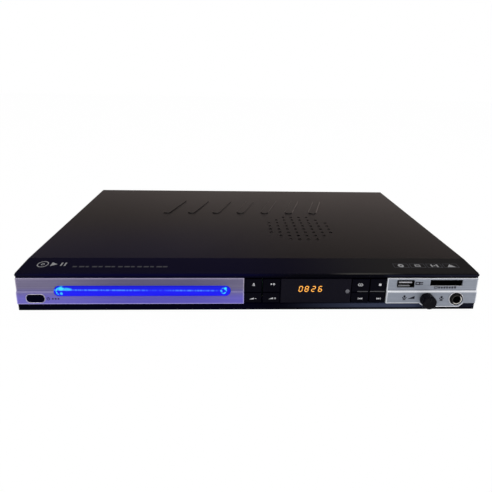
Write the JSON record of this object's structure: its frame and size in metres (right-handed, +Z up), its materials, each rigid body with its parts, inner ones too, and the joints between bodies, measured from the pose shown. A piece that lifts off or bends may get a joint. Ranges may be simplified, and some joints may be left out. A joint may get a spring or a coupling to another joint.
{
  "type": "disc player",
  "caption": "Slim black disc player with a silver front, a motor-driven tray, push keys, a display window and front sockets.",
  "frame": {"origin": "bottom centre of the whole player, on the plane of its feet", "axes": "+X to the right seen from the front, -Y towards the front, +Z up"},
  "size_m": [0.3712, 0.2396, 0.0386],
  "materials": {
    "cover_paint": "fine satin powder coat",
    "zinc_steel": "zinc plated sheet",
    "black_plastic": "moulded black plastic",
    "silver_plate": "silver painted plastic with a brushed film",
    "gloss_black": "polished black plastic",
    "display_body": "black module",
    "receiver_plastic": "dark clear resin",
    "circuit_board": "green solder resist",
    "lamp_lens": "clear blue lamp resin",
    "blue_acrylic": "clear blue acrylic",
    "bright_metal": "bright plated metal",
    "socket_plastic": "black socket",
    "knob_plastic": "fluted black knob",
    "white_plastic": "white acetal",
    "motor_steel": "plated can",
    "brass_pulley": "turned brass",
    "belt_rubber": "black rubber",
    "foot_rubber": "black rubber",
    "lens_glass": "coated lens",
    "transformer_tape": "yellow tape and ferrite",
    "capacitor_sleeve": "dark sleeve",
    "ribbon": "white flat cable",
    "black_screws": "black oxide",
    "zinc_screws": "zinc plated"
  },
  "bodies": {
    "player": {"top_cover": "cover_paint", "chassis_base": "zinc_steel", "rear_panel": "zinc_steel", "clamp_bridge": "zinc_steel", "front_bezel": "black_plastic", "loader_frame": "black_plastic", "mains_switch": "black_plastic", "key_switches": "black_plastic", "card_reader": "black_plastic", "volume_pot": "black_plastic", "av_jack_block": "black_plastic", "cord_gland": "black_plastic", "usb_tongue": "black_plastic", "board_chips": "black_plastic", "fascia_left": "silver_plate", "fascia_right": "silver_plate", "display_lens": "gloss_black", "display_module": "display_body", "ir_receiver": "receiver_plastic", "front_board": "circuit_board", "main_board": "circuit_board", "power_board": "circuit_board", "door_lamps": "lamp_lens", "usb_shell": "bright_metal", "rca_sleeves": "bright_metal", "heat_sink": "bright_metal", "mic_jack": "socket_plastic", "loading_motor": "motor_steel", "drive_belt": "belt_rubber", "feet": "foot_rubber", "transformer": "transformer_tape", "capacitors": "capacitor_sleeve", "ribbon_cables": "ribbon", "cover_screws": "black_screws", "chassis_screws": "zinc_screws"},
    "tray": {"disc_tray": "black_plastic", "tray_door": "blue_acrylic"},
    "tray_gear": {"tray_gear": "white_plastic"},
    "pulley_gear": {"pulley_gear": "white_plastic"},
    "motor_pulley": {"motor_pulley": "brass_pulley"},
    "cam_slider": {"cam_slider": "white_plastic"},
    "traverse": {"traverse_frame": "zinc_steel", "guide_rods": "bright_metal", "spindle_motor": "motor_steel", "sled_motor": "motor_steel"},
    "turntable": {"turntable": "black_plastic"},
    "pickup": {"pickup_sled": "white_plastic", "objective_lens": "lens_glass"},
    "sled_gear": {"sled_gear": "white_plastic"},
    "clamper": {"clamper": "black_plastic"},
    "power_button": {"power_button": "gloss_black"},
    "volume_knob": {"volume_knob": "knob_plastic"},
    "key_eject": {"key_eject": "gloss_black"},
    "key_play": {"key_play": "gloss_black"},
    "key_volume_down": {"key_volume_down": "gloss_black"},
    "key_volume_up": {"key_volume_up": "gloss_black"},
    "key_channel": {"key_channel": "gloss_black"},
    "key_stop": {"key_stop": "gloss_black"},
    "key_previous": {"key_previous": "gloss_black"},
    "key_next": {"key_next": "gloss_black"}
  },
  "joints": [
    {"name": "tray_slide", "type": "slide", "parent": "player", "child": "tray", "axis": [0, -1, 0], "range_m": [0, 0.13195]},
    {"name": "tray_gear_turn", "type": "hinge", "parent": "player", "child": "tray_gear", "pos_m": [-0.128, -0.087, 0.015], "axis": [0, 0, 1], "range_deg": [-5, 1265]},
    {"name": "pulley_gear_turn", "type": "hinge", "parent": "player", "child": "pulley_gear", "pos_m": [-0.112, -0.087, 0.015], "axis": [0, 0, 1], "range_deg": [-3790, 10]},
    {"name": "motor_pulley_turn", "type": "hinge", "parent": "player", "child": "motor_pulley", "pos_m": [-0.07, -0.087, 0.015], "axis": [0, 0, 1], "range_deg": [-13593.6, 20]},
    {"name": "traverse_tilt", "type": "hinge", "parent": "player", "child": "traverse", "pos_m": [-0.08595, 0.036, 0.01415], "axis": [1, 0, 0], "range_deg": [0, 3.2]},
    {"name": "cam_slide", "type": "slide", "parent": "player", "child": "cam_slider", "axis": [1, 0, 0], "range_m": [-0.0002, 0.0122]},
    {"name": "turntable_spin", "type": "hinge", "parent": "traverse", "child": "turntable", "pos_m": [-0.08595, -0.043, 0.02], "axis": [0, 0, 1], "continuous": true},
    {"name": "pickup_slide", "type": "slide", "parent": "traverse", "child": "pickup", "axis": [0, 1, 0], "range_m": [0, 0.03456]},
    {"name": "sled_gear_turn", "type": "hinge", "parent": "traverse", "child": "sled_gear", "pos_m": [-0.054, -0.002, 0.011], "axis": [0, 0, 1], "range_deg": [-401, 5]},
    {"name": "clamper_spin", "type": "hinge", "parent": "player", "child": "clamper", "pos_m": [-0.08595, -0.043, 0.028], "axis": [0, 0, 1], "continuous": true},
    {"name": "power_press", "type": "slide", "parent": "player", "child": "power_button", "axis": [0, 1, 0], "range_m": [0, 0.0025], "stiffness_N_per_m": 800},
    {"name": "volume_turn", "type": "hinge", "parent": "player", "child": "volume_knob", "pos_m": [0.1421, -0.115, 0.01405], "axis": [0, 1, 0], "range_deg": [-150, 150]},
    {"name": "key_eject_press", "type": "slide", "parent": "player", "child": "key_eject", "axis": [0, 1, 0], "range_m": [0, 0.0006], "stiffness_N_per_m": 2000},
    {"name": "key_play_press", "type": "slide", "parent": "player", "child": "key_play", "axis": [0, 1, 0], "range_m": [0, 0.0006], "stiffness_N_per_m": 2000},
    {"name": "key_volume_down_press", "type": "slide", "parent": "player", "child": "key_volume_down", "axis": [0, 1, 0], "range_m": [0, 0.0006], "stiffness_N_per_m": 2000},
    {"name": "key_volume_up_press", "type": "slide", "parent": "player", "child": "key_volume_up", "axis": [0, 1, 0], "range_m": [0, 0.0006], "stiffness_N_per_m": 2000},
    {"name": "key_channel_press", "type": "slide", "parent": "player", "child": "key_channel", "axis": [0, 1, 0], "range_m": [0, 0.0006], "stiffness_N_per_m": 2000},
    {"name": "key_stop_press", "type": "slide", "parent": "player", "child": "key_stop", "axis": [0, 1, 0], "range_m": [0, 0.0006], "stiffness_N_per_m": 2000},
    {"name": "key_previous_press", "type": "slide", "parent": "player", "child": "key_previous", "axis": [0, 1, 0], "range_m": [0, 0.0006], "stiffness_N_per_m": 2000},
    {"name": "key_next_press", "type": "slide", "parent": "player", "child": "key_next", "axis": [0, 1, 0], "range_m": [0, 0.0006], "stiffness_N_per_m": 2000}
  ],
  "couplings": [
    {"joint": "tray_gear_turn", "follows": "tray_slide", "rad_per_m": 166.67},
    {"joint": "pulley_gear_turn", "follows": "tray_slide", "rad_per_m": -500},
    {"joint": "motor_pulley_turn", "follows": "tray_slide", "rad_per_m": -1795.5},
    {"joint": "cam_slide", "follows": "traverse_tilt", "m_per_rad": 0.21486},
    {"joint": "sled_gear_turn", "follows": "pickup_slide", "rad_per_m": -200}
  ]
}
